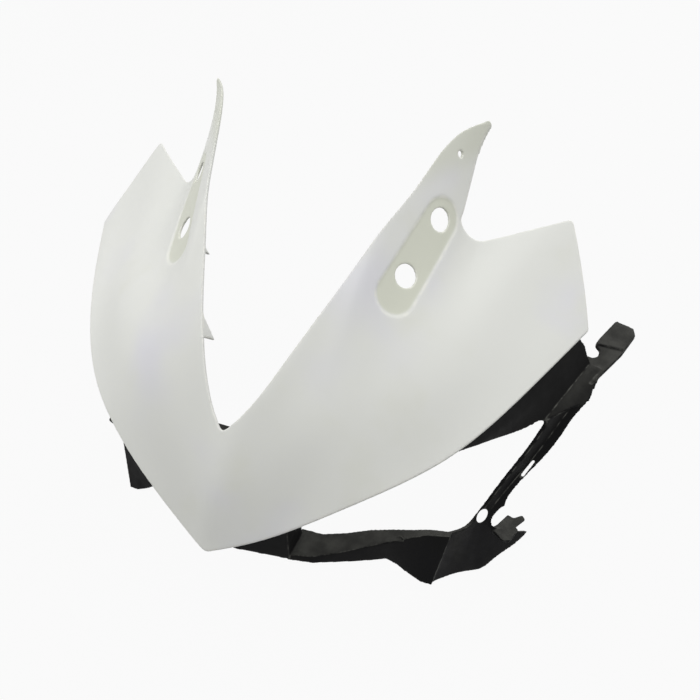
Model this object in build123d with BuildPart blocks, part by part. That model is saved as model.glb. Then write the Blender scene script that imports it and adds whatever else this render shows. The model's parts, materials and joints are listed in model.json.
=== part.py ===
# Upper nose cowl of a sport motorcycle, with the headlight surround screwed inside it.
# Millimetres. Drawn with the nose tip at zero, +X to the rider's left, -Y ahead and +Z up,
# then moved so that the finished part stands over the middle of its own floor plan.
import os
from math import hypot

from build123d import *

os.makedirs("parts", exist_ok=True)

# Walls and fits
COWL_WALL = 3.0
SURROUND_WALL = 3.0
FIT_GAP = 0.4

# Screws that hold the surround to posts inside the cowl
POST_HEIGHT = 6.0
POST_DIAMETER = 9.0
SCREW_DIAMETER = 3.8
SCREW_LENGTH = 7.0
SCREW_CLEARANCE = 0.2
SCREW_HEAD_DIAMETER = 8.0
SCREW_HEAD_HEIGHT = 2.6
SCREW_SEAT_DEPTH = 0.8
SCREW_TIP_GAP = 0.4
SCREW_DRIVE = 2.5
SCREW_DRIVE_DEPTH = 1.5
RAIL_DEPTH = COWL_WALL + POST_HEIGHT
SCREW_SEAT = RAIL_DEPTH + SURROUND_WALL - SCREW_SEAT_DEPTH

# Mirror stays and the upper fixing of each arm
MIRROR_BORE = 17.5
MIRROR_RECESS_WIDTH = 32.0
MIRROR_RECESS_LENGTH = 102.0
MIRROR_RECESS_DEPTH = 1.0
ARM_BORE = 5.0

# Screen ears under each side of the screen edge, as place, length along the edge and depth
EAR_WALL = 2.5
EAR_LEAN = 0.35
SCREEN_EARS = [((34.5, 143.0), 18.0, 11.0), ((57.5, 205.0), 7.0, 6.0)]

# Side lines of the outer skin, as (y, z) points at each half breadth. The first point lies
# under the cowl's lower edge and the last one past its upper edge: the outline trims both.
SIDE_LINES = {
    0.0: [(-6, -14), (0, 0), (16.8, 43.6), (29, 64), (42.5, 82.6), (61, 106)],
    12.0: [(-1.5, -11.5), (4.6, 2.6), (22, 46), (36, 70), (53, 94.5), (72, 117)],
    40.0: [(12, -2.5), (18.5, 11.4), (44, 66.5), (70, 104.5), (100, 139), (124, 160)],
    60.0: [(19, 8.5), (27.4, 21.8), (60, 81.5), (98, 125.5), (148.5, 172.5), (174, 193)],
    80.0: [(29, 19.5), (37, 33), (78, 93.3), (130, 141), (206, 205), (232, 228)],
    100.0: [(41, 31), (49.5, 43), (100, 103), (160, 143.5), (228, 195.6), (275, 246)],
    120.0: [(53, 39), (63.5, 49.7), (110, 98), (170, 132.5), (228, 159.3), (282, 221)],
    150.0: [(84, 51), (96.5, 61), (140, 95.5), (195, 127), (254, 155), (300, 176)],
    186.0: [(142, 71), (156, 80), (195, 102.5), (230, 121), (289, 155), (320, 172)],
    230.0: [(212, 77), (228, 87.5), (252, 103.3), (274, 118), (302, 136.4), (330, 155)],
}
SKIN_SPANS = 20

# The cowl's outline is drawn square to the screen, on a plane tipped back from level.
SCREEN_TILT = 36.87
SCREEN_EDGE = [(0, 83.6), (9, 94.6), (28.5, 133), (65, 236.8), (83, 294.4), (98, 341.4), (118.6, 366.5)]
ARM_EDGE = [(118.6, 366.5), (112.2, 342), (111.5, 312), (112, 293)]
NOTCH_EDGE = [(112, 293), (115, 282.2), (122, 279), (130.6, 281.6)]
WING_TOP = [(130.6, 281.6), (164, 307), (187.5, 326)]
WING_REAR = [(187.5, 326), (204, 288.2), (220, 242.2)]
LOWER_EDGE = [(220, 242.2), (186, 172.8), (147.5, 111.2), (92, 59.2), (38, 20.3), (0, 0)]
NOSE_RADIUS = 6.0
SCREEN_RADIUS = 3.0
WING_RADIUS = 3.0
ARM_RADIUS = 1.5

# Places on the outer skin, as (breadth, height up the screen plane)
MIRROR_BORE_PLACES = [(101.4, 277.5), (91.0, 227.0)]
MIRROR_RECESS_PLACE = (95.0, 245.0)
ARM_BORE_PLACE = (102.3, 329.3)
SCREW_PLACES = [(120.5, 107.0), (189.0, 218.0)]

# The rail of the surround, a strip that follows the cowl's lower edge on the inside
RAIL_INSET = 6.0
RAIL_WIDTH = 24.0

# Side panel of the surround, as (x, y) lines at each height: the front of the panel, the
# front edge of the strut's channel, the floor of the channel and the rear lip. The outline
# below it is seen from the side.
PANEL_LINES = {
    -115.0: [(143, 90), (168, 125), (174, 133), (214, 184)],
    -80.0: [(147, 104), (166, 134), (172, 142), (207, 178)],
    -45.0: [(151, 115), (172.8, 149.4), (180.5, 159), (188.5, 162.5)],
    -10.0: [(155.5, 125), (190.2, 171.3), (201.3, 187.2), (209, 188.3)],
    10.0: [(154, 115), (199.9, 184), (211, 200.2), (219.6, 202.4)],
    31.0: [(151.7, 103), (208.4, 194.6), (222, 215), (232.5, 221.8)],
}

# The lamp band and the shelf beside it stand a step proud of the strut below them.
BAND_LINES = {
    31.0: [(151.7, 103), (203, 188), (233.8, 224.3)],
    50.0: [(150.5, 98), (228, 255), (240, 263)],
    95.0: [(141, 100), (208, 250), (216, 264)],
}
PANEL_FOOT = [(97, -98.5), (111, -100.5), (128, -107), (143, -114), (154, -109.5), (166, -105.5), (180, -95)]
PANEL_REAR = [(180, -95), (167, -86), (159, -75)]
PANEL_NOTCH = [(159, -75), (155, -70.5), (154, -65), (156.5, -57), (164, -47)]
PANEL_LIP = [(164, -47), (175, -38), (224, 26), (232, 35), (245, 40), (252, 44), (251, 66), (240, 93)]
PANEL_TOP = [(240, 93), (196, 102), (156, 94), (125, 84), (98, 72), (98, 60)]
APERTURE_TOP = [(98, 60), (121.6, 51.5), (147.2, 41.5), (165, 35.5), (180, 33)]
APERTURE_CORNER = [(180, 33), (189, 31), (192.6, 24.5)]
STRUT_FRONT = [(192.6, 24.5), (182.3, 4.5), (167.8, -17), (155.5, -38), (149.7, -46.5), (143, -53.5)]
STRUT_TOE = [(143, -53.5), (137, -56.5), (131, -55.5), (120, -50)]
PANEL_INNER = 120.0
PANEL_OUTER = 280.0

# Oval hole at the strut's foot, which looks up and ahead, and a slit in the strut's rear lip,
# seen from ahead
STRUT_HOLE_PLACE = (172.6, 148.4, -53.5)
STRUT_HOLE_AXIS = (0.08, -0.63, 0.77)
STRUT_HOLE_ACROSS = (0.93, 0.36, 0.0)
STRUT_HOLE_TURN = -35.0
STRUT_HOLE_WIDTH = 7.2
STRUT_HOLE_HEIGHT = 13.0
STRUT_HOLE_DEPTH = 12.0
STRUT_SLOT_ENDS = [(202.2, -13.5), (196.2, -24.0)]
STRUT_SLOT_WIDTH = 2.2
STRUT_SLOT_FRONT = 165.0
STRUT_SLOT_DEPTH = 30.0

# Chin of the surround, as (y, z) corners at each half breadth: the back of the ledge under
# the lamp, its front ridge and the lower edge of the front face.
CHIN_LINES = {
    36.0: [(86, -59), (56, -57), (56, -64)],
    54.0: [(88, -60), (65, -62), (64, -70)],
    72.0: [(94, -57.5), (74, -60), (73.5, -72)],
    90.0: [(101, -53.5), (83, -55.5), (82.5, -73)],
    108.0: [(105, -49), (92, -51), (92.5, -74)],
    117.0: [(107, -47.5), (96, -48.5), (96, -82.5)],
    126.0: [(109, -46), (100, -46), (96.5, -90)],
    138.0: [(114, -46), (107, -45.5), (97, -97)],
}
CHIN_END = [(120, 50.5), (114, 51.5), (98.5, 0)]
CHIN_END_BREADTH = 146.5
CHIN_END_HEIGHT = -98.5
CHIN_END_LEAN = 9.6
CHIN_NOTCH_PLACE = (116.0, 95.5, -50.0)
CHIN_NOTCH_RADIUS = 4.5

# Keel between the lamps
KEEL_NOSE = 38.0
KEEL_HALF_WIDTH = 38.0
KEEL_SHOULDER = 56.0
KEEL_BACK = 82.0
KEEL_TOP = 45.0
KEEL_LOW_MIDDLE = -44.5
KEEL_LOW_SHOULDER = -62.5
CHEEK_FRONT = [(56, 14), (24, 14), (36, 45)]

# Hook for the side fairing, seen from above, on a plane that rises to the rear
HOOK_OUTLINE = [(219, -10), (232, -9), (237, 0), (250, 26), (257, 47), (254.5, 54), (239, 58),
                (229.2, 36.3), (227, 29.5), (231.8, 25), (231.5, 19), (228, 16.5), (223, 17), (219, 16)]
HOOK_HEIGHT = 43.0
HOOK_FRONT = 245.0
HOOK_RISE = 17.0
HOOK_WALL = 4.0
HOOK_CORNER = 2.0
HOOK_PAD_START = 30.0
HOOK_PAD_HEIGHT = 1.5

# Fork that clips the lower fairing, seen from above
FORK_OUTLINE = [(180, 156), (184.5, 162), (190.8, 176), (196, 174), (203, 180), (206, 176),
                (200, 165), (203, 163), (199, 149), (193, 147)]
FORK_HEIGHT = -75.0
FORK_CORNER = 1.2

SCREEN_PLANE = Plane.XY.rotated((SCREEN_TILT, 0, 0))
SCREEN_UP = SCREEN_PLANE.y_dir
REACH = 400.0
BISECTIONS = 40
SLOPE_STEP = 1.0
BASE_ALIGN = (Align.CENTER, Align.CENTER, Align.MIN)
TOP_ALIGN = (Align.CENTER, Align.CENTER, Align.MAX)


def crossing(curve, measure, value):
    """The point of a curve at which a measure that grows along it takes a value."""
    low, high = 0.0, 1.0
    for _ in range(BISECTIONS):
        middle = (low + high) / 2
        if measure(curve @ middle) < value:
            low = middle
        else:
            high = middle
    return curve @ low


def skin_rail(index):
    """The curve across the part through one point of every side line."""
    half = sorted(SIDE_LINES)
    right = [(-x, *SIDE_LINES[x][index]) for x in reversed(half[1:])]
    left = [(x, *SIDE_LINES[x][index]) for x in half]
    return Spline(*right, *left)


SKIN_RAILS = [skin_rail(i) for i in range(len(SIDE_LINES[0.0]))]


def side_line(x):
    """The side line of the outer skin at any breadth."""
    points = [crossing(rail, lambda p: p.X, x) for rail in SKIN_RAILS]
    return [(p.Y, p.Z) for p in points]


def normals(line):
    """The unit direction square to a line of points, at each of them."""
    last = len(line) - 1
    square = []
    for i in range(len(line)):
        y0, z0 = line[max(i - 1, 0)]
        y1, z1 = line[min(i + 1, last)]
        run = hypot(y1 - y0, z1 - z0)
        square.append(((z1 - z0) / run, (y0 - y1) / run))
    return square


def sunk(line, depths):
    """Moves each point of a line by its own depth, square to the line."""
    return [(y + d * a, z + d * b) for (y, z), d, (a, b) in zip(line, depths, normals(line))]


def skin_stretch(x):
    """How much longer a true depth is when it is measured in the side view, at each point."""
    low, high = max(x - SLOPE_STEP, -SKIN_HALF), min(x + SLOPE_STEP, SKIN_HALF)
    stretch = []
    for (y0, z0), (y1, z1), (a, b) in zip(side_line(low), side_line(high), normals(side_line(x))):
        drift = ((y1 - y0) * a + (z1 - z0) * b) / (high - low)
        stretch.append(hypot(1, drift))
    return stretch


SKIN_HALF = max(SIDE_LINES)
STATIONS = [k * SKIN_HALF / SKIN_SPANS for k in range(-SKIN_SPANS, SKIN_SPANS + 1)]
STATION_LINES = {x: side_line(x) for x in STATIONS}
STATION_STRETCH = {x: skin_stretch(x) for x in STATIONS}


def skin_line(x, depth):
    """The line at one station that lies a true depth under the outer skin."""
    return Spline(*sunk(STATION_LINES[x], [depth * stretch for stretch in STATION_STRETCH[x]]))


def skin_section(x, outer_depth, inner_depth):
    """The thin section between two depths under the outer skin, at one station."""
    with BuildSketch(Plane.YZ.offset(x)) as section:
        with BuildLine():
            outer = skin_line(x, outer_depth)
            inner = skin_line(x, inner_depth)
            Line(outer @ 0, inner @ 0)
            Line(outer @ 1, inner @ 1)
        make_face()
    return section.sketch


def skin_layer(outer_depth, inner_depth):
    """The whole untrimmed layer between two depths under the outer skin."""
    with BuildPart() as layer:
        loft([skin_section(x, outer_depth, inner_depth) for x in STATIONS])
    return layer.part


def skin_point(x, height):
    """The point of the outer skin at a breadth and a height up the screen plane."""
    line = Spline(*[(x, y, z) for y, z in side_line(x)])
    return crossing(line, lambda p: p.dot(SCREEN_UP), height)


def skin_plane(x, height):
    """A plane that lies on the outer skin, with its normal out of the part."""
    across = skin_point(x + SLOPE_STEP, height) - skin_point(x - SLOPE_STEP, height)
    along = skin_point(x, height + SLOPE_STEP) - skin_point(x, height - SLOPE_STEP)
    return Plane(origin=skin_point(x, height), x_dir=along, z_dir=across.cross(along))


def both_sides(places):
    """Skin planes at the given places and at their mirror images."""
    return [skin_plane(side * x, height) for x, height in places for side in (1, -1)]


def screen_block(edges, corner_radii):
    """A block cut square to the screen, inside edges that are mirrored to the other side."""
    with BuildPart() as block:
        with BuildSketch(SCREEN_PLANE) as outline:
            with BuildLine():
                for edge in edges:
                    Spline(*edge)
                mirror(about=Plane.YZ)
            make_face()
            for (x, height), radius in corner_radii.items():
                for corner in {(x, height), (-x, height)}:
                    fillet(outline.vertices().sort_by_distance(corner)[0], radius)
        extrude(amount=REACH, both=True)
    return block.part


def inward_cylinder(plane, depth, radius, length, mode):
    """A cylinder that starts at a depth under a skin plane and runs on into the part."""
    with Locations(plane.offset(-depth)):
        Cylinder(radius, length, align=TOP_ALIGN, mode=mode)


COWL_EDGES = [SCREEN_EDGE, ARM_EDGE, NOTCH_EDGE, WING_TOP, WING_REAR, LOWER_EDGE]
COWL_CORNERS = {
    SCREEN_EDGE[0]: SCREEN_RADIUS,
    ARM_EDGE[0]: ARM_RADIUS,
    WING_REAR[0]: WING_RADIUS,
    LOWER_EDGE[0]: WING_RADIUS,
    LOWER_EDGE[-1]: NOSE_RADIUS,
}
COWL_BLOCK = screen_block(COWL_EDGES, COWL_CORNERS)
SCREW_PLANES = both_sides(SCREW_PLACES)

# Shallow recess round the two bores of each mirror stay
with BuildPart() as mirror_recess:
    for side in (1, -1):
        ends = [skin_point(side * x, height) for x, height in MIRROR_BORE_PLACES]
        floor = skin_plane(side * MIRROR_RECESS_PLACE[0], MIRROR_RECESS_PLACE[1])
        with BuildSketch(Plane(origin=floor.origin, x_dir=ends[0] - ends[1], z_dir=floor.z_dir)):
            SlotOverall(MIRROR_RECESS_LENGTH, MIRROR_RECESS_WIDTH)
        extrude(amount=MIRROR_RECESS_WIDTH, both=True)
    add(skin_layer(-MIRROR_RECESS_DEPTH, MIRROR_RECESS_DEPTH), mode=Mode.INTERSECT)

# Posts inside the cowl that take the screws
with BuildPart() as posts:
    with Locations(*SCREW_PLANES):
        Cylinder(POST_DIAMETER / 2, 4 * RAIL_DEPTH)
    add(skin_layer(COWL_WALL / 2, RAIL_DEPTH), mode=Mode.INTERSECT)

# White cowl: one moulded shell with its posts
with BuildPart() as nose_cowl:
    add(skin_layer(0, COWL_WALL))
    add(COWL_BLOCK, mode=Mode.INTERSECT)
    add(mirror_recess.part, mode=Mode.SUBTRACT)
    add(posts.part)
    for plane in SCREW_PLANES:
        bore_stop = SCREW_SEAT - SCREW_LENGTH - SCREW_TIP_GAP
        bore = (SCREW_DIAMETER + SCREW_CLEARANCE) / 2
        inward_cylinder(plane, bore_stop, bore, 2 * RAIL_DEPTH, Mode.SUBTRACT)
    for (x, height), length, depth in SCREEN_EARS:
        for side in (1, -1):
            ear = skin_plane(side * x, height)
            along = skin_point(side * (x + EAR_LEAN * length), height + length) - ear.origin
            with BuildSketch(Plane(origin=ear.origin, x_dir=along, z_dir=ear.z_dir.cross(along))):
                with BuildLine():
                    Polyline((0, COWL_WALL / 2), (length, COWL_WALL / 2), (0, COWL_WALL + depth), close=True)
                make_face()
            extrude(amount=EAR_WALL / 2, both=True)
    with Locations(*both_sides(MIRROR_BORE_PLACES)):
        Cylinder(MIRROR_BORE / 2, 6 * COWL_WALL, mode=Mode.SUBTRACT)
    with Locations(*both_sides([ARM_BORE_PLACE])):
        Cylinder(ARM_BORE / 2, 6 * COWL_WALL, mode=Mode.SUBTRACT)


def panel_section(height, outer):
    """The thin bent section of a side panel at one height."""
    inner = sunk(outer, [-SURROUND_WALL] * len(outer))
    with BuildSketch(Plane.XY.offset(height)) as section:
        with BuildLine():
            Polyline(*outer, *reversed(inner), close=True)
        make_face()
    return section.sketch


def chin_section(plane, corners):
    """The ledge and front face of the chin, as a thin angle on one plane."""
    back, ridge, foot = corners
    wall = SURROUND_WALL
    inner = [(foot[0] + wall, foot[1]), (ridge[0] + wall, ridge[1] - wall), (back[0], back[1] - wall)]
    with BuildSketch(plane) as section:
        with BuildLine():
            Polyline(back, ridge, foot, *inner, close=True)
        make_face()
    return section.sketch


def rail_edge(inset):
    """The cowl's lower edge moved into the part, ending on the middle plane."""
    return sunk(LOWER_EDGE, [inset] * len(LOWER_EDGE))[:-1] + [(0, inset)]


# One side panel of the surround: lamp band, strut and chin side in one bent sheet
with BuildPart() as side_panel:
    loft([panel_section(height, line) for height, line in PANEL_LINES.items()])
    loft([panel_section(height, line) for height, line in BAND_LINES.items()], ruled=True)
    with BuildSketch(Plane.YZ.offset(PANEL_INNER)):
        with BuildLine():
            Spline(*PANEL_FOOT)
            Polyline(*PANEL_REAR)
            Spline(*PANEL_NOTCH)
            Polyline(*PANEL_LIP)
            Polyline(*PANEL_TOP)
            Spline(*APERTURE_TOP)
            Spline(*APERTURE_CORNER)
            Spline(*STRUT_FRONT)
            Spline(*STRUT_TOE)
            Line(STRUT_TOE[-1], PANEL_FOOT[0])
        make_face()
    extrude(amount=PANEL_OUTER - PANEL_INNER, mode=Mode.INTERSECT)
    with BuildSketch(Plane(STRUT_HOLE_PLACE, x_dir=STRUT_HOLE_ACROSS, z_dir=STRUT_HOLE_AXIS)):
        Ellipse(STRUT_HOLE_WIDTH / 2, STRUT_HOLE_HEIGHT / 2, rotation=STRUT_HOLE_TURN)
    extrude(amount=STRUT_HOLE_DEPTH, both=True, mode=Mode.SUBTRACT)
    with BuildSketch(Plane.XZ.offset(-STRUT_SLOT_FRONT)):
        with BuildLine():
            slot_line = Line(*STRUT_SLOT_ENDS)
        SlotArc(slot_line, STRUT_SLOT_WIDTH)
    extrude(amount=-STRUT_SLOT_DEPTH, mode=Mode.SUBTRACT)

# Strip inside the cowl, along its lower edge, which takes the screws
with BuildPart() as rail:
    add(skin_layer(RAIL_DEPTH, RAIL_DEPTH + SURROUND_WALL))
    low, high = rail_edge(RAIL_INSET), rail_edge(RAIL_INSET + RAIL_WIDTH)
    add(screen_block([low, [low[0], high[0]], high], {}), mode=Mode.INTERSECT)

# The room that the cowl and its fit take from the surround
with BuildPart() as cowl_space:
    add(skin_layer(-RAIL_DEPTH, COWL_WALL + FIT_GAP))
    add(COWL_BLOCK, mode=Mode.INTERSECT)

# One half of the chin, from the keel to the side panel
with BuildPart() as chin:
    end_plane = Plane.YZ.rotated((0, CHIN_END_LEAN, 0))
    end_plane.origin = Vector(CHIN_END_BREADTH, 0, CHIN_END_HEIGHT)
    sections = [chin_section(Plane.YZ.offset(x), CHIN_LINES[x]) for x in CHIN_LINES]
    loft(sections + [chin_section(end_plane, CHIN_END)], ruled=True)
    with Locations(CHIN_NOTCH_PLACE):
        Cylinder(CHIN_NOTCH_RADIUS, 2 * SURROUND_WALL, align=BASE_ALIGN, mode=Mode.SUBTRACT)

with BuildPart() as hook:
    hook_plane = Plane((0, HOOK_FRONT, HOOK_HEIGHT)).rotated((HOOK_RISE, 0, 0))
    with BuildSketch(hook_plane) as hook_face:
        with BuildLine():
            Polyline(*HOOK_OUTLINE, close=True)
        make_face()
        fillet(hook_face.vertices().sort_by(Axis.Y)[2:], HOOK_CORNER)
    extrude(amount=-HOOK_WALL)
    with BuildSketch(hook_plane):
        add(hook_face.sketch_local)
        with Locations((0, HOOK_PAD_START)):
            Rectangle(2 * REACH, REACH, align=(Align.CENTER, Align.MIN), mode=Mode.INTERSECT)
    extrude(amount=HOOK_PAD_HEIGHT)

with BuildPart() as fork:
    with BuildSketch(Plane.XY.offset(FORK_HEIGHT)) as fork_face:
        with BuildLine():
            Polyline(*FORK_OUTLINE, close=True)
        make_face()
        fillet(fork_face.vertices(), FORK_CORNER)
    extrude(amount=-SURROUND_WALL)

# Keel between the lamps: a wedge of walls under a top plate, open to the rear
with BuildPart() as keel:
    with BuildSketch(Plane.XY.offset(KEEL_LOW_SHOULDER)):
        with BuildLine():
            Polyline((0, KEEL_NOSE), (KEEL_HALF_WIDTH, KEEL_SHOULDER),
                     (KEEL_HALF_WIDTH, KEEL_BACK), (0, KEEL_BACK))
            mirror(about=Plane.YZ)
        make_face()
    extrude(amount=KEEL_TOP - KEEL_LOW_SHOULDER)
    with BuildSketch(Plane.XY.offset(KEEL_LOW_SHOULDER)):
        with BuildLine():
            inner_half = KEEL_HALF_WIDTH - SURROUND_WALL
            Polyline((0, KEEL_NOSE + SURROUND_WALL), (inner_half, KEEL_SHOULDER + SURROUND_WALL / 2),
                     (inner_half, KEEL_BACK), (0, KEEL_BACK))
            mirror(about=Plane.YZ)
        make_face()
    extrude(amount=KEEL_TOP - SURROUND_WALL - KEEL_LOW_SHOULDER, mode=Mode.SUBTRACT)
    with BuildSketch(Plane.XZ.offset(-KEEL_BACK)):
        with BuildLine():
            Polyline((0, KEEL_LOW_MIDDLE), (KEEL_HALF_WIDTH, KEEL_LOW_SHOULDER),
                     (-KEEL_HALF_WIDTH, KEEL_LOW_SHOULDER), close=True)
        make_face()
    extrude(amount=KEEL_BACK, mode=Mode.SUBTRACT)
    for side in (1, -1):
        with BuildSketch(Plane.YZ.offset(side * KEEL_HALF_WIDTH)):
            with BuildLine():
                Polyline(*CHEEK_FRONT, (KEEL_SHOULDER, KEEL_TOP), close=True)
            make_face()
        extrude(amount=-side * SURROUND_WALL)

# Black surround: one moulding
with BuildPart() as headlight_surround:
    add(side_panel.part)
    add(chin.part)
    add(hook.part)
    add(fork.part)
    mirror(about=Plane.YZ)
    add(keel.part)
    add(rail.part)
    add(cowl_space.part, mode=Mode.SUBTRACT)
    for plane in SCREW_PLANES:
        hole = SCREW_DIAMETER / 2 + SCREW_CLEARANCE
        inward_cylinder(plane, COWL_WALL, hole, 2 * RAIL_DEPTH, Mode.SUBTRACT)
        spot = SCREW_HEAD_DIAMETER / 2 + FIT_GAP
        inward_cylinder(plane, SCREW_SEAT, spot, 2 * SCREW_HEAD_HEIGHT, Mode.SUBTRACT)

# Four like screws, each with a socket head on the inside of the rail
with BuildPart() as joining_screws:
    for plane in SCREW_PLANES:
        inward_cylinder(plane, SCREW_SEAT, SCREW_HEAD_DIAMETER / 2, SCREW_HEAD_HEIGHT, Mode.ADD)
        inward_cylinder(plane, SCREW_SEAT - SCREW_LENGTH, SCREW_DIAMETER / 2, SCREW_LENGTH, Mode.ADD)
        with BuildSketch(plane.offset(-SCREW_SEAT - SCREW_HEAD_HEIGHT)):
            RegularPolygon(SCREW_DRIVE / 2, 6, major_radius=False)
        extrude(amount=SCREW_DRIVE_DEPTH, mode=Mode.SUBTRACT)

# The finished part stands on its lowest points, over the middle of its floor plan
whole = Compound([nose_cowl.part, headlight_surround.part, joining_screws.part]).bounding_box()
STAND = Location((0, -whole.center().Y, -whole.min.Z))

nose_cowl.part.label = "nose_cowl"
nose_cowl.part.location = STAND
export_step(nose_cowl.part, "parts/nose_cowl.step")

headlight_surround.part.label = "headlight_surround"
headlight_surround.part.location = STAND
export_step(headlight_surround.part, "parts/headlight_surround.step")

joining_screws.part.label = "joining_screws"
joining_screws.part.location = STAND
export_step(joining_screws.part, "parts/joining_screws.step")
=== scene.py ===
"""Looks of the motorcycle fairing: a white nose cowl, a black headlight surround and four screws."""
import json
import logging
import math
from dataclasses import dataclass
from enum import Enum
from typing import Callable

import bmesh
import bpy
from mathutils import Matrix, Vector
from mathutils.kdtree import KDTree

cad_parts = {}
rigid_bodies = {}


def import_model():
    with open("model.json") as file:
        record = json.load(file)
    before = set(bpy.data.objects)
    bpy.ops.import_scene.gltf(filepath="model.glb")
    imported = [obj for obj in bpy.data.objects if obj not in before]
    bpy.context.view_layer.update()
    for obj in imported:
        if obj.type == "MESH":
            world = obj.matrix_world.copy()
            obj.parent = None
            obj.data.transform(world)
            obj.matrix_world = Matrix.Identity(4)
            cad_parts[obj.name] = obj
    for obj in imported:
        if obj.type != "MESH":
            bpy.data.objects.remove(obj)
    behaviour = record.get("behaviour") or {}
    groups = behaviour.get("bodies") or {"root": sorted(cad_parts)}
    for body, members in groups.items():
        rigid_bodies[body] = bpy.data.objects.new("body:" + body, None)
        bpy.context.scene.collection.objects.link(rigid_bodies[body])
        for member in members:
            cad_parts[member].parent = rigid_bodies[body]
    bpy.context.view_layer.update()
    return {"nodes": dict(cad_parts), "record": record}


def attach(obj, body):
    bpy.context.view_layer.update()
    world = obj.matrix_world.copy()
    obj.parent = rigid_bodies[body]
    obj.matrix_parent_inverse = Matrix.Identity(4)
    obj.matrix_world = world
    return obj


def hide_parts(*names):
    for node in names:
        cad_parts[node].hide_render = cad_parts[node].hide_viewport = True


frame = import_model()

LOG = logging.getLogger("fairing")
MM = 0.001
ROOT = "root"
MERGE_DISTANCE = 0.001 * MM
SQUARE = 0.99


class Slot(Enum):
    """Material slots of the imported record."""

    WHITE_SHELL = "white_shell"
    BLACK_SURROUND = "black_surround"
    SCREW_STEEL = "screw_steel"


class Node(Enum):
    """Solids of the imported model."""

    COWL = "nose_cowl"
    SURROUND = "headlight_surround"
    SCREWS = "joining_screws"


class Mask(Enum):
    """Point attributes that the finishes read from the meshes."""

    EDGE = "edge_distance"
    THIN = "thin_wall"


Colour = tuple[float, float, float, float]
Place = tuple[float, float, float]
Socket = bpy.types.NodeSocket
PointMask = Callable[[Vector], float]


def srgb(red: int, green: int, blue: int) -> Colour:
    """Turn a colour as seen on a screen into the linear colour that a shader takes.

    Args:
        red: Red from 0 to 255.
        green: Green from 0 to 255.
        blue: Blue from 0 to 255.

    Returns:
        The linear colour with full alpha.
    """
    parts = [value / 255 for value in (red, green, blue)]
    linear = [part / 12.92 if part <= 0.04045 else ((part + 0.055) / 1.055) ** 2.4 for part in parts]
    return (linear[0], linear[1], linear[2], 1.0)


WHITE = srgb(255, 255, 255)


def smooth_step(low: float, high: float, value: float) -> float:
    """Rise smoothly from 0 at low to 1 at high.

    Args:
        low: Where the rise starts.
        high: Where the rise ends.
        value: The place on the rise.

    Returns:
        A number from 0 to 1.
    """
    share = min(max((value - low) / (high - low), 0.0), 1.0)
    return share * share * (3 - 2 * share)


class Tree:
    """A node tree that is filled one node at a time."""

    def __init__(self, tree: bpy.types.NodeTree) -> None:
        """Keep the tree that the nodes go into."""
        self.tree = tree

    def link(self, source: Socket, target: Socket) -> None:
        """Wire one socket to another."""
        self.tree.links.new(source, target)

    def node(self, kind: str, settings: dict | None = None, inputs: dict | None = None) -> bpy.types.Node:
        """Add a node, set it up and wire its inputs.

        Args:
            kind: The node's type name.
            settings: Values for the node's own properties.
            inputs: Input names or numbers, each with a plain value or the socket that feeds it.

        Returns:
            The new node.
        """
        made = self.tree.nodes.new(kind)
        for key, value in (settings or {}).items():
            setattr(made, key, value)
        for key, value in (inputs or {}).items():
            if isinstance(value, Socket):
                self.link(value, made.inputs[key])
            else:
                made.inputs[key].default_value = value
        return made

    def group(self, tree: bpy.types.NodeTree, inputs: dict) -> bpy.types.Node:
        """Place a shared node group.

        Args:
            tree: The group.
            inputs: Its inputs, each with a plain value or the socket that feeds it.

        Returns:
            The new node.
        """
        return self.node("ShaderNodeGroup", {"node_tree": tree}, inputs)

    def noise(self, where: Socket, scale: float | Socket, detail: float, roughness: float = 0.55) -> Socket:
        """Add a noise texture.

        Args:
            where: The coordinates that it reads.
            scale: Its scale, in waves to the metre.
            detail: How many finer layers it has.
            roughness: How strong the finer layers are.

        Returns:
            The noise value.
        """
        inputs = {"Vector": where, "Scale": scale, "Detail": detail, "Roughness": roughness}
        return self.node("ShaderNodeTexNoise", None, inputs).outputs["Fac"]

    def ramp(self, value: Socket, low: float, high: float, start: float = 0.0, end: float = 1.0) -> Socket:
        """Map a value from one range to another, with soft clamped ends.

        Args:
            value: The value to map.
            low: Where the range starts.
            high: Where the range ends.
            start: What the low end becomes.
            end: What the high end becomes.

        Returns:
            The mapped value.
        """
        inputs = {"Value": value, "From Min": low, "From Max": high, "To Min": start, "To Max": end}
        settings = {"interpolation_type": "SMOOTHSTEP"}
        return self.node("ShaderNodeMapRange", settings, inputs).outputs["Result"]

    def mix(self, share: Socket, first: Socket | Colour, second: Socket | Colour) -> Socket:
        """Mix two colours.

        Args:
            share: How much of the second colour shows.
            first: The first colour.
            second: The second colour.

        Returns:
            The mixed colour.
        """
        made = self.node("ShaderNodeMix", {"data_type": "RGBA"}, {0: share, 6: first, 7: second})
        return made.outputs[2]

    def math(self, operation: str, first: Socket, second: Socket | float) -> Socket:
        """Work out one value from two.

        Args:
            operation: The name of the sum, such as ADD or MULTIPLY.
            first: The first value.
            second: The second value.

        Returns:
            The result.
        """
        return self.node("ShaderNodeMath", {"operation": operation}, {0: first, 1: second}).outputs[0]

    def attribute(self, mask: Mask) -> Socket:
        """Read a point attribute of the mesh."""
        return self.node("ShaderNodeAttribute", {"attribute_name": mask.value}).outputs["Fac"]

    def place(self) -> Socket:
        """Read the object coordinates, in metres."""
        return self.node("ShaderNodeTexCoord").outputs["Object"]

    def upward(self) -> Socket:
        """Read how far the surface faces up, from -1 to 1."""
        normal = self.node("ShaderNodeTexCoord").outputs["Normal"]
        return self.node("ShaderNodeSeparateXYZ", None, {0: normal}).outputs["Z"]


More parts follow.
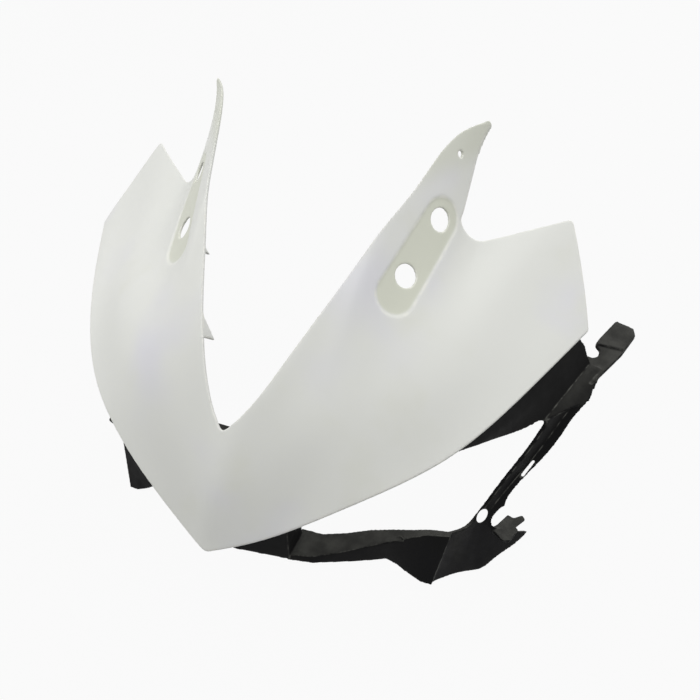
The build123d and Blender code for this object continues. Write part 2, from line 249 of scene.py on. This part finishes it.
class SharedEffects:
    """Shader node groups that more than one finish uses. Scales are in waves to the metre."""

    RIPPLE_SCALE = 55.0
    GLOSS_SCALE = 140.0
    COOL_SCALE = 9.0
    COOL_RANGE = (0.5, 0.72)
    WARM_SCALE = 14.0
    WARM_RANGE = (0.52, 0.75)
    WARM_SHIFT = (3.1, 1.7, 0.4)
    # The paler edge band is partly rubbed wear and partly a painted edge highlight.
    RUB_AND_HIGHLIGHT_SCALE = 160.0
    RUB_AND_HIGHLIGHT_RANGE = (0.35, 0.7)
    RUB_AND_HIGHLIGHT_CORE = 0.2

    def __init__(self) -> None:
        """Build each group once."""
        self.grain = self._grain()
        self.drift = self._drift()
        self.rub_and_highlight = self._rub_and_highlight()

    def _new(self, name: str, inputs: dict[str, str], outputs: list[tuple[str, str]]) -> tuple:
        """Start a group with named sockets.

        Args:
            name: The group's name.
            inputs: Names and kinds of the inputs after the place, which each group has.
            outputs: Names and kinds of the outputs.

        Returns:
            The group, a tree to fill, its input sockets and its output node.
        """
        group = bpy.data.node_groups.new(name, "ShaderNodeTree")
        for socket, kind in {"Place": "Vector", **inputs}.items():
            group.interface.new_socket(name=socket, in_out="INPUT", socket_type="NodeSocket" + kind)
        for socket, kind in outputs:
            group.interface.new_socket(name=socket, in_out="OUTPUT", socket_type="NodeSocket" + kind)
        tree = Tree(group)
        return group, tree, tree.node("NodeGroupInput").outputs, tree.node("NodeGroupOutput")

    def _grain(self) -> bpy.types.NodeTree:
        """Build the fine moulded grain: a height for bump and a mask for roughness.

        Returns:
            The group.
        """
        inputs = {"Scale": "Float", "Ripple": "Float"}
        outputs = [("Height", "Float"), ("Gloss", "Float")]
        group, tree, given, out = self._new("moulded_grain", inputs, outputs)
        fine = tree.noise(given["Place"], given["Scale"], 3.0, 0.6)
        wave = tree.math("MULTIPLY", tree.noise(given["Place"], self.RIPPLE_SCALE, 1.0), given["Ripple"])
        tree.link(tree.math("ADD", fine, wave), out.inputs["Height"])
        tree.link(tree.noise(given["Place"], self.GLOSS_SCALE, 4.0), out.inputs["Gloss"])
        return group

    def _drift(self) -> bpy.types.NodeTree:
        """Build the slow drift of tone over a moulding.

        Returns:
            The group.
        """
        inputs = {"Base": "Color", "Cool": "Color", "Warm": "Color"}
        group, tree, given, out = self._new("tone_drift", inputs, [("Colour", "Color")])
        cool = tree.ramp(tree.noise(given["Place"], self.COOL_SCALE, 2.0), *self.COOL_RANGE)
        shift = {"Vector": given["Place"], "Location": self.WARM_SHIFT}
        moved = tree.node("ShaderNodeMapping", None, shift).outputs["Vector"]
        warm = tree.ramp(tree.noise(moved, self.WARM_SCALE, 3.0), *self.WARM_RANGE)
        cooled = tree.mix(cool, given["Base"], given["Cool"])
        tree.link(tree.mix(warm, cooled, given["Warm"]), out.inputs["Colour"])
        return group

    def _rub_and_highlight(self) -> bpy.types.NodeTree:
        """Build the mask of paler edges, broken up by noise: partly rubbed wear, partly a painted edge
        highlight.

        Returns:
            The group.
        """
        inputs = {"Distance": "Float", "Width": "Float"}
        group, tree, given, out = self._new("edge_rub_and_highlight", inputs, [("Mask", "Float")])
        near = tree.math("DIVIDE", given["Distance"], given["Width"])
        band = tree.ramp(near, self.RUB_AND_HIGHLIGHT_CORE, 1.0, 1.0, 0.0)
        broken = tree.ramp(tree.noise(given["Place"], self.RUB_AND_HIGHLIGHT_SCALE, 3.0), *self.RUB_AND_HIGHLIGHT_RANGE)
        tree.link(tree.math("MULTIPLY", band, broken), out.inputs["Mask"])
        return group


@dataclass(frozen=True)
class Finish:
    """What the finishes share: a colour that drifts, a fine grain and a gloss that changes."""

    slot: Slot
    base: Colour
    cool: Colour
    warm: Colour
    roughness: float
    roughness_spread: float
    grain: float
    ripple: float
    bump: float
    bump_depth: float

    def start(self) -> tuple[bpy.types.Material, Tree, bpy.types.Node]:
        """Start the material, which holds a Principled shader.

        Returns:
            The material, its tree and its shader.
        """
        made = bpy.data.materials.new(self.slot.value)
        made.use_nodes = True
        return made, Tree(made.node_tree), made.node_tree.nodes["Principled BSDF"]

    def tone(self, tree: Tree, effects: SharedEffects, place: Socket) -> Socket:
        """Add the colour that drifts over the surface.

        Args:
            tree: The material's tree.
            effects: The shared node groups.
            place: The object coordinates.

        Returns:
            The colour.
        """
        inputs = {"Place": place, "Base": self.base, "Cool": self.cool, "Warm": self.warm}
        return tree.group(effects.drift, inputs).outputs["Colour"]

    def rub_and_highlight_mask(self, tree: Tree, effects: SharedEffects, place: Socket, width: float) -> Socket:
        """Add the mask of paler edges: partly rubbed wear, partly a painted edge highlight.

        Args:
            tree: The material's tree.
            effects: The shared node groups.
            place: The object coordinates.
            width: How far the paler band, rubbed wear and painted edge highlight, reaches from an edge.

        Returns:
            The mask.
        """
        inputs = {"Place": place, "Distance": tree.attribute(Mask.EDGE), "Width": width}
        return tree.group(effects.rub_and_highlight, inputs).outputs["Mask"]

    def surface(self, tree: Tree, effects: SharedEffects, place: Socket, shader: bpy.types.Node) -> None:
        """Give the shader its roughness and its grain.

        Args:
            tree: The material's tree.
            effects: The shared node groups.
            place: The object coordinates.
            shader: The Principled shader.
        """
        grain = tree.group(effects.grain, {"Place": place, "Scale": self.grain, "Ripple": self.ripple})
        low = self.roughness - self.roughness_spread / 2
        gloss = tree.ramp(grain.outputs["Gloss"], 0.3, 0.7, low, low + self.roughness_spread)
        tree.link(gloss, shader.inputs["Roughness"])
        inputs = {"Strength": self.bump, "Distance": self.bump_depth, "Height": grain.outputs["Height"]}
        tree.link(tree.node("ShaderNodeBump", None, inputs).outputs["Normal"], shader.inputs["Normal"])


@dataclass(frozen=True)
class WhiteShell(Finish):
    """White satin moulding, a little translucent where it is thin."""

    slot: Slot = Slot.WHITE_SHELL
    base: Colour = srgb(219, 220, 215)
    cool: Colour = srgb(214, 214, 218)
    warm: Colour = srgb(216, 217, 209)
    roughness: float = 0.36
    roughness_spread: float = 0.10
    grain: float = 900.0
    ripple: float = 2.0
    bump: float = 0.05
    bump_depth: float = 0.2 * MM
    thin: Colour = srgb(207, 209, 195)
    # Colour of the paler edges: partly rubbed wear, partly a painted edge highlight.
    edge: Colour = srgb(226, 226, 218)
    rub_and_highlight_width: float = 1.6 * MM
    ior: float = 1.5
    specular: float = 0.4

    def material(self, effects: SharedEffects) -> bpy.types.Material:
        """Build the white finish.

        Args:
            effects: The shared node groups.

        Returns:
            The material.
        """
        made, tree, shader = self.start()
        place = tree.place()
        tinted = tree.mix(tree.attribute(Mask.THIN), self.tone(tree, effects, place), self.thin)
        # Paler edges on the white: partly rubbed wear, partly a painted edge highlight.
        rub_and_highlight = self.rub_and_highlight_mask(tree, effects, place, self.rub_and_highlight_width)
        tree.link(tree.mix(rub_and_highlight, tinted, self.edge), shader.inputs["Base Color"])
        self.surface(tree, effects, place, shader)
        shader.inputs["IOR"].default_value = self.ior
        shader.inputs["Specular IOR Level"].default_value = self.specular
        return made


@dataclass(frozen=True)
class BlackSurround(Finish):
    """Black moulded plastic with a fine stipple; its upward faces are paler, partly patchy dust and partly a
    painted sheen, and its edges are paler, partly rubbed wear and partly a painted edge highlight.
    """

    slot: Slot = Slot.BLACK_SURROUND
    base: Colour = srgb(20, 20, 20)
    cool: Colour = srgb(22, 22, 23)
    warm: Colour = srgb(25, 25, 22)
    roughness: float = 0.46
    roughness_spread: float = 0.12
    grain: float = 1500.0
    ripple: float = 0.6
    bump: float = 0.22
    bump_depth: float = 0.2 * MM
    # Paler colour on upward faces: patchy dust plus a painted sheen where light falls from above.
    dust_and_sheen: Colour = srgb(70, 70, 67)
    dust_and_sheen_scale: float = 70.0
    dust_and_sheen_least: float = 0.5
    dust_and_sheen_slope: float = 0.62
    # Colour of the paler edges: partly rubbed wear, partly a painted edge highlight.
    edge: Colour = srgb(92, 92, 88)
    rub_and_highlight_width: float = 1.1 * MM
    ior: float = 1.5
    specular: float = 0.04

    def material(self, effects: SharedEffects) -> bpy.types.Material:
        """Build the black finish.

        Args:
            effects: The shared node groups.

        Returns:
            The material.
        """
        made, tree, shader = self.start()
        place = tree.place()
        # Upward faces are made paler in patches: partly dust, partly a painted sheen.
        patchy = tree.ramp(tree.noise(place, self.dust_and_sheen_scale, 4.0), 0.3, 0.7, self.dust_and_sheen_least, 1.0)
        dust_and_sheen_share = tree.math("MULTIPLY", tree.ramp(tree.upward(), self.dust_and_sheen_slope, 1.0), patchy)
        with_dust_and_sheen = tree.mix(dust_and_sheen_share, self.tone(tree, effects, place), self.dust_and_sheen)
        # Paler edges on the black: partly rubbed wear, partly a painted edge highlight.
        rub_and_highlight = self.rub_and_highlight_mask(tree, effects, place, self.rub_and_highlight_width)
        tree.link(tree.mix(rub_and_highlight, with_dust_and_sheen, self.edge), shader.inputs["Base Color"])
        self.surface(tree, effects, place, shader)
        shader.inputs["IOR"].default_value = self.ior
        shader.inputs["Specular IOR Level"].default_value = self.specular
        return made


@dataclass(frozen=True)
class ScrewSteel(Finish):
    """Zinc-plated screw steel, turned and a little dull."""

    slot: Slot = Slot.SCREW_STEEL
    base: Colour = srgb(176, 177, 176)
    cool: Colour = srgb(164, 168, 174)
    warm: Colour = srgb(181, 174, 158)
    roughness: float = 0.36
    roughness_spread: float = 0.16
    grain: float = 3000.0
    ripple: float = 0.2
    bump: float = 0.2
    bump_depth: float = 0.05 * MM

    def material(self, effects: SharedEffects) -> bpy.types.Material:
        """Build the steel finish.

        Args:
            effects: The shared node groups.

        Returns:
            The material.
        """
        made, tree, shader = self.start()
        place = tree.place()
        tree.link(self.tone(tree, effects, place), shader.inputs["Base Color"])
        self.surface(tree, effects, place, shader)
        shader.inputs["Metallic"].default_value = 1.0
        return made


def activate(piece: bpy.types.Object) -> None:
    """Select one piece alone and make it the active one."""
    for other in bpy.context.view_layer.objects:
        other.select_set(False)
    piece.select_set(True)
    bpy.context.view_layer.objects.active = piece


def merged_copy(node: Node, name: str) -> bpy.types.Object:
    """Copy a solid's mesh into a new piece and merge its loose triangles.

    Args:
        node: The solid to copy.
        name: The new piece's name.

    Returns:
        The new piece.
    """
    piece = bpy.data.objects.new(name, frame["nodes"][node.value].data.copy())
    bpy.context.scene.collection.objects.link(piece)
    activate(piece)
    bpy.ops.object.mode_set(mode="EDIT")
    bpy.ops.mesh.select_all(action="SELECT")
    bpy.ops.mesh.remove_doubles(threshold=MERGE_DISTANCE)
    bpy.ops.object.mode_set(mode="OBJECT")
    bpy.ops.mesh.customdata_custom_splitnormals_clear()
    return piece


def sharp_edges(piece: bpy.types.Object, angle: float, spacing: float) -> KDTree:
    """Gather points along the sharp edges of a piece.

    Args:
        piece: The piece to look at.
        angle: How far two faces must turn, in degrees.
        spacing: How far apart the points are.

    Returns:
        The points, ready to be searched.
    """
    points: list[Vector] = []
    shape = bmesh.new()
    shape.from_mesh(piece.data)
    for edge in shape.edges:
        if edge.calc_face_angle(0.0) < math.radians(angle):
            continue
        start, end = edge.verts[0].co, edge.verts[1].co
        steps = max(1, math.ceil((end - start).length / spacing))
        points.extend(start.lerp(end, step / steps) for step in range(steps + 1))
    shape.free()
    found = KDTree(len(points))
    for number, point in enumerate(points):
        found.insert(point, number)
    found.balance()
    return found


def apply_modifier(piece: bpy.types.Object, kind: str, settings: dict) -> None:
    """Add a modifier to a piece and apply it.

    Args:
        piece: The piece.
        kind: The modifier's type.
        settings: Values for the modifier's properties.
    """
    activate(piece)
    made = piece.modifiers.new(kind.lower(), kind)
    for key, value in settings.items():
        setattr(made, key, value)
    bpy.ops.object.modifier_apply(modifier=made.name)


def weigh(piece: bpy.types.Object, name: str, weights: list[float]) -> None:
    """Store one weight for each point in a vertex group.

    Args:
        piece: The piece.
        name: The group's name.
        weights: The weights in the order of the points.
    """
    group = piece.vertex_groups.new(name=name)
    for number, weight in enumerate(weights):
        if weight > 0:
            group.add([number], weight, "REPLACE")


def mark(piece: bpy.types.Object, mask: Mask, values: list[float]) -> None:
    """Store one value for each point in an attribute that a finish reads.

    Args:
        piece: The piece.
        mask: The attribute.
        values: The values in the order of the points.
    """
    made = piece.data.attributes.new(mask.value, "FLOAT", "POINT")
    made.data.foreach_set("value", values)


def dress(piece: bpy.types.Object, material: bpy.types.Material, node: Node) -> None:
    """Give a piece its finish and put it in its solid's place.

    Args:
        piece: The piece.
        material: Its finish.
        node: The solid that it stands for.
    """
    piece.data.materials.clear()
    piece.data.materials.append(material)
    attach(piece, ROOT)
    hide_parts(node.value)
    LOG.info("%s: %d faces", piece.name, len(piece.data.polygons))


@dataclass
class Moulding:
    """A moulded wall with rounded edges, made from the solid that it stands for."""

    node: Node
    name: str
    cell: float = 0.8 * MM
    triangles: int = 190_000
    edge_angle: float = 24.0
    edge_spacing: float = 0.6 * MM
    edge_rounds: int = 6
    skin_rounds: int = 70
    skin_start: float = 1.2 * MM
    skin_full: float = 4.5 * MM
    soft_rounds: int = 24
    smooth_factor: float = 0.5

    def build(self, soft: PointMask | None = None, thin: PointMask | None = None) -> bpy.types.Object:
        """Build the moulding's mesh and its masks.

        Args:
            soft: Gives where an edge is moulded soft.
            thin: Gives how thin and see-through the wall is at a point.

        Returns:
            The piece.
        """
        piece = merged_copy(self.node, self.name)
        edges = sharp_edges(piece, self.edge_angle, self.edge_spacing)
        apply_modifier(piece, "REMESH", {"mode": "VOXEL", "voxel_size": self.cell, "use_smooth_shade": True})
        points = [point.co.copy() for point in piece.data.vertices]
        reaches = [edges.find(point)[2] for point in points]
        weigh(piece, "skin", [smooth_step(self.skin_start, self.skin_full, reach) for reach in reaches])
        self._smooth(piece, self.edge_rounds)
        self._smooth(piece, self.skin_rounds, "skin")
        if soft:
            weigh(piece, "soft", [soft(point) for point in points])
            self._smooth(piece, self.soft_rounds, "soft")
        piece.vertex_groups.clear()
        share = self.triangles / (2 * len(piece.data.polygons))
        apply_modifier(piece, "DECIMATE", {"ratio": min(share, 1.0)})
        activate(piece)
        bpy.ops.object.shade_smooth()
        mark(piece, Mask.EDGE, [edges.find(point.co)[2] for point in piece.data.vertices])
        if thin:
            mark(piece, Mask.THIN, [thin(point.co) for point in piece.data.vertices])
        return piece

    def _smooth(self, piece: bpy.types.Object, rounds: int, group: str = "") -> None:
        """Smooth a piece, all over or by the weights of a group.

        Args:
            piece: The piece.
            rounds: How many times the points move.
            group: The vertex group that holds the weights.
        """
        settings = {"factor": self.smooth_factor, "iterations": rounds, "vertex_group": group}
        apply_modifier(piece, "SMOOTH", settings)


@dataclass
class NoseCowl:
    """The white outer shell."""

    mounts: dict[str, Vector]
    recess_half_width: float = 16 * MM
    recess_front: float = 15.2 * MM
    recess_rear: float = 1.8 * MM
    lip_width: float = 5 * MM
    lip_core: float = 1.5 * MM
    bore_rim: float = 13 * MM
    bore_fade: float = 2 * MM
    thin_fade: tuple[float, float] = (1 * MM, -2 * MM)
    tip_fade: tuple[float, float] = (-16 * MM, 4 * MM)
    tip_thinness: float = 0.8

    def build(self, material: bpy.types.Material) -> None:
        """Build the shell and dress it.

        Args:
            material: The white finish.
        """
        piece = Moulding(Node.COWL, "white_nose_cowl").build(self._soft, self._thin)
        dress(piece, material, Node.COWL)

    def _past_recess(self, side: Vector) -> float:
        """Measure how far a point lies outside the edge of the mirror recess.

        Args:
            side: A point of the left half.

        Returns:
            The distance, below zero inside the recess.
        """
        front, rear = self.mounts["mirror_front"], self.mounts["mirror_rear"]
        along = rear - front
        length = along.length
        reach = (side - front).dot(along) / length
        nearest = front + along * (min(max(reach, -self.recess_front), length + self.recess_rear) / length)
        return (side - nearest).length - self.recess_half_width

    def _soft(self, point: Vector) -> float:
        """Tell whether a point lies on the soft step round the mirror recess.

        Args:
            point: A point of the shell.

        Returns:
            1 on the step, falling to 0 beside it and at the bores.
        """
        side = Vector((abs(point.x), point.y, point.z))
        bores = min((side - self.mounts[name]).length for name in ("mirror_front", "mirror_rear"))
        step = smooth_step(self.lip_width, self.lip_core, abs(self._past_recess(side)))
        return step * smooth_step(self.bore_rim - self.bore_fade, self.bore_rim, bores)

    def _thin(self, point: Vector) -> float:
        """Tell how thin the wall is at a point: the mirror recess and the arm's tip.

        Args:
            point: A point of the shell.

        Returns:
            1 where the wall lets light through, 0 where it is full.
        """
        side = Vector((abs(point.x), point.y, point.z))
        inside = smooth_step(*self.thin_fade, self._past_recess(side))
        above = smooth_step(*self.tip_fade, side.z - self.mounts["arm_tip"].z)
        return max(inside, self.tip_thinness * above)


@dataclass
class HeadlightSurround:
    """The black inner moulding."""

    def build(self, material: bpy.types.Material) -> None:
        """Build the surround and dress it.

        Args:
            material: The black finish.
        """
        piece = Moulding(Node.SURROUND, "black_headlight_surround").build()
        dress(piece, material, Node.SURROUND)


@dataclass
class JoiningScrews:
    """The four pan-head screws inside, which hold the surround to the shell."""

    name: str = "plated_joining_screws"
    head_radius: float = 4.0 * MM
    head_height: float = 2.6 * MM
    head_round: float = 1.1 * MM
    shank_radius: float = 1.55 * MM
    thread_radius: float = 1.9 * MM
    thread_pitch: float = 1.0 * MM
    length: float = 7.0 * MM
    tip_radius: float = 1.1 * MM
    socket_width: float = 2.5 * MM
    socket_depth: float = 1.5 * MM
    sides: int = 48
    round_steps: int = 5
    smooth_angle: float = 35.0
    flank: float = 0.45
    crest: float = 0.1
    rim_share: float = 0.9

    def build(self, material: bpy.types.Material) -> None:
        """Model one screw, copy it to each place of the solid and dress the four.

        Args:
            material: The steel finish.
        """
        seats = self._seats()
        model = self._screw()
        copies = []
        for place, axis in seats:
            copy = bpy.data.objects.new(self.name, model.data.copy())
            bpy.context.scene.collection.objects.link(copy)
            turn = axis.to_track_quat("Z", "Y").to_matrix().to_4x4()
            copy.matrix_world = Matrix.Translation(place) @ turn
            copies.append(copy)
        bpy.data.objects.remove(model)
        activate(copies[0])
        for copy in copies:
            copy.select_set(True)
        bpy.ops.object.transform_apply(location=True, rotation=True, scale=True)
        bpy.ops.object.join()
        bpy.ops.object.shade_smooth_by_angle(angle=math.radians(self.smooth_angle))
        dress(copies[0], material, Node.SCREWS)

    def _seats(self) -> list[tuple[Vector, Vector]]:
        """Find where the solid's screws are.

        Returns:
            For each screw, the middle of its head's underside and the direction out of its head.
        """
        merged_copy(Node.SCREWS, "screw_places")
        bpy.ops.object.mode_set(mode="EDIT")
        bpy.ops.mesh.separate(type="LOOSE")
        bpy.ops.object.mode_set(mode="OBJECT")
        parts = list(bpy.context.selected_objects)
        seats = [self._seat(part.data) for part in parts]
        for part in parts:
            bpy.data.objects.remove(part)
        return seats

    def _seat(self, solid: bpy.types.Mesh) -> tuple[Vector, Vector]:
        """Find the seat of one screw: its flat faces give its axis, and its widest points its head.

        Args:
            solid: The screw's mesh.

        Returns:
            The middle of its head's underside and the direction out of its head.
        """
        flats: dict[tuple[float, ...], Vector] = {}
        for face in solid.polygons:
            key = tuple(round(value, 1) for value in face.normal)
            flats[key] = flats.get(key, Vector()) + face.normal * face.area
        axis = max(flats.values(), key=lambda flat: flat.length).normalized()
        middle = sum((point.co for point in solid.vertices), Vector()) / len(solid.vertices)
        rims = []
        for point in solid.vertices:
            reach = point.co - middle
            if (reach - axis * reach.dot(axis)).length > self.rim_share * self.head_radius:
                rims.append(point.co)
        head = sum(rims, Vector()) / len(rims)
        if (head - middle).dot(axis) < 0:
            axis = -axis
        return head - axis * (self.head_height / 2), axis

    def _screw(self) -> bpy.types.Object:
        """Model one screw that points down, with the underside of its head at zero.

        Returns:
            The screw.
        """
        bpy.ops.object.select_all(action="DESELECT")
        middle = (0, 0, self.head_height / 2)
        bpy.ops.mesh.primitive_cylinder_add(
            vertices=self.sides, radius=self.head_radius, depth=self.head_height, location=middle
        )
        screw = bpy.context.object
        bpy.ops.object.transform_apply(location=True, rotation=True, scale=True)
        bpy.ops.object.mode_set(mode="EDIT")
        self._pick_face(screw, up=True)
        bpy.ops.mesh.bevel(offset=self.head_round, segments=self.round_steps, affect="EDGES")
        self._pick_face(screw, up=False)
        bpy.ops.mesh.inset(thickness=self.head_radius - self.shank_radius)
        self._draw_shank()
        bpy.ops.object.mode_set(mode="OBJECT")
        self._cut_socket(screw)
        return screw

    def _pick_face(self, screw: bpy.types.Object, up: bool) -> None:
        """Select one end face of a screw, in edit mode.

        Args:
            screw: The screw.
            up: Whether the face looks up or down.
        """
        bpy.ops.mesh.select_mode(type="FACE")
        bpy.ops.mesh.select_all(action="DESELECT")
        shape = bmesh.from_edit_mesh(screw.data)
        for face in shape.faces:
            face.select_set((face.normal.z if up else -face.normal.z) > SQUARE)
        bmesh.update_edit_mesh(screw.data)

    def _draw_shank(self) -> None:
        """Draw the selected face down into a shank, one thread ridge at a time."""
        root, crest = self.shank_radius, self.thread_radius
        radius = root
        ridges = int(self.length / self.thread_pitch) - 1
        for _ in range(ridges):
            for target, share in ((crest, self.flank), (crest, self.crest), (root, self.flank)):
                radius = self._draw_face(radius, target, share * self.thread_pitch)
        self._draw_face(radius, self.tip_radius, self.length - ridges * self.thread_pitch)

    def _draw_face(self, radius: float, target: float, depth: float) -> float:
        """Draw the selected face down and bring it to a new radius.

        Args:
            radius: The face's radius.
            target: Its new radius.
            depth: How far it moves down.

        Returns:
            The new radius.
        """
        bpy.ops.mesh.extrude_region_move(TRANSFORM_OT_translate={"value": (0, 0, -depth)})
        bpy.ops.transform.resize(value=(target / radius, target / radius, 1), center_override=(0, 0, 0))
        return target

    def _cut_socket(self, screw: bpy.types.Object) -> None:
        """Sink the six-sided socket into the head.

        Args:
            screw: The screw.
        """
        bpy.ops.object.select_all(action="DESELECT")
        corner = self.socket_width / math.sqrt(3)
        bpy.ops.mesh.primitive_cylinder_add(
            vertices=6, radius=corner, depth=2 * self.socket_depth, location=(0, 0, self.head_height)
        )
        drive = bpy.context.object
        apply_modifier(screw, "BOOLEAN", {"object": drive, "operation": "DIFFERENCE", "solver": "EXACT"})
        bpy.data.objects.remove(drive)


@dataclass(frozen=True)
class Softbox:
    """A soft square lamp: where it hangs, how wide it is in metres and its power in watts."""

    name: str
    place: Place
    side: float
    power: float


@dataclass
class Studio:
    """Floor, light and camera."""

    eye: Place = (0.2283, -0.44848, 0.60502)
    aim: Place = (0.05549, -0.00530, 0.20737)
    lens: float = 42.17
    sensor: float = 36.0
    lamps: tuple[Softbox, ...] = (
        Softbox("overhead_softbox", (0.1, 0.25, 1.9), 2.4, 18.0),
        Softbox("front_softbox", (0.0, -1.2, 1.6), 1.4, 10.0),
        Softbox("back_softbox", (0.9, 1.7, 1.0), 1.4, 13.0),
        Softbox("left_softbox", (-1.8, 0.0, 0.9), 1.4, 7.5),
        Softbox("right_softbox", (1.8, 0.0, 0.9), 1.4, 3.0),
    )
    lamp_aim: Place = (0.0, 0.0, 0.15)
    floor_side: float = 12.0
    floor_grey: Colour = srgb(135, 135, 135)
    floor_glow: float = 0.94
    ambient: float = 0.395
    backdrop: float = 0.95

    def build(self) -> None:
        """Set up the whole studio."""
        bpy.context.scene.view_settings.view_transform = "Standard"
        self._floor()
        self._world()
        for lamp in self.lamps:
            self._hang(lamp)
        self._camera()

    def _floor(self) -> None:
        """Lay a pale floor that keeps the object's shadow."""
        bpy.ops.object.select_all(action="DESELECT")
        bpy.ops.mesh.primitive_plane_add(size=self.floor_side, location=(0, 0, 0))
        floor = bpy.context.object
        floor.name = "studio_floor"
        made = bpy.data.materials.new("studio_floor")
        made.use_nodes = True
        made.node_tree.nodes.clear()
        tree = Tree(made.node_tree)
        share = tree.math("MULTIPLY", self._seen(tree), self.floor_glow)
        matt = tree.node("ShaderNodeBsdfDiffuse", None, {"Color": self.floor_grey}).outputs[0]
        glow = tree.node("ShaderNodeEmission", None, {"Color": WHITE, "Strength": 1.0}).outputs[0]
        mixed = tree.node("ShaderNodeMixShader", None, {0: share, 1: matt, 2: glow}).outputs[0]
        tree.node("ShaderNodeOutputMaterial", None, {"Surface": mixed})
        floor.data.materials.append(made)

    def _seen(self, tree: Tree) -> Socket:
        """Tell whether a ray sees the background itself, straight or in a reflection.

        Args:
            tree: The tree that the nodes go into.

        Returns:
            1 for such a ray, 0 for one that lights the object.
        """
        rays = tree.node("ShaderNodeLightPath").outputs
        straight = tree.math("MAXIMUM", rays["Is Camera Ray"], rays["Is Transmission Ray"])
        return tree.math("MAXIMUM", straight, rays["Is Glossy Ray"])

    def _world(self) -> None:
        """Fill the room with even light and show it white behind the object."""
        world = bpy.data.worlds.new("studio_room")
        world.use_nodes = True
        tree = Tree(world.node_tree)
        shade = world.node_tree.nodes["Background"]
        shade.inputs["Color"].default_value = WHITE
        strength = tree.ramp(self._seen(tree), 0.0, 1.0, self.ambient, self.backdrop)
        tree.link(strength, shade.inputs["Strength"])
        bpy.context.scene.world = world

    def _hang(self, lamp: Softbox) -> None:
        """Hang a lamp that points at the object.

        Args:
            lamp: The lamp.
        """
        light = bpy.data.lights.new(lamp.name, "AREA")
        light.size = lamp.side
        light.energy = lamp.power
        self._stand(lamp.name, light, lamp.place, self.lamp_aim)

    def _stand(self, name: str, data: bpy.types.ID, place: Place, aim: Place) -> bpy.types.Object:
        """Put a lamp or a camera at a place and point it.

        Args:
            name: The object's name.
            data: The lamp or the camera.
            place: Where it stands.
            aim: What it points at.

        Returns:
            The object.
        """
        made = bpy.data.objects.new(name, data)
        made.location = place
        made.rotation_euler = (Vector(aim) - Vector(place)).to_track_quat("-Z", "Y").to_euler()
        bpy.context.scene.collection.objects.link(made)
        return made

    def _camera(self) -> None:
        """Stand the camera where the photograph was taken."""
        data = bpy.data.cameras.new("photo_camera")
        data.lens = self.lens
        data.sensor_width = self.sensor
        bpy.context.scene.camera = self._stand("photo_camera", data, self.eye, self.aim)


def left_mounts() -> dict[str, Vector]:
    """Read where the left side's bores are from the record.

    Returns:
        Places by name, without the side.
    """
    found = {}
    for mount in frame["record"]["mounts"]:
        side, _, name = mount["name"].partition("_")
        if side == "left":
            found[name] = Vector(mount["pos_m"])
    return found


def main() -> None:
    """Build the pieces in order and light them."""
    logging.basicConfig(level=logging.INFO, format="%(name)s %(message)s")
    effects = SharedEffects()
    NoseCowl(left_mounts()).build(WhiteShell().material(effects))
    HeadlightSurround().build(BlackSurround().material(effects))
    JoiningScrews().build(ScrewSteel().material(effects))
    Studio().build()


if __name__ == "__main__":
    main()
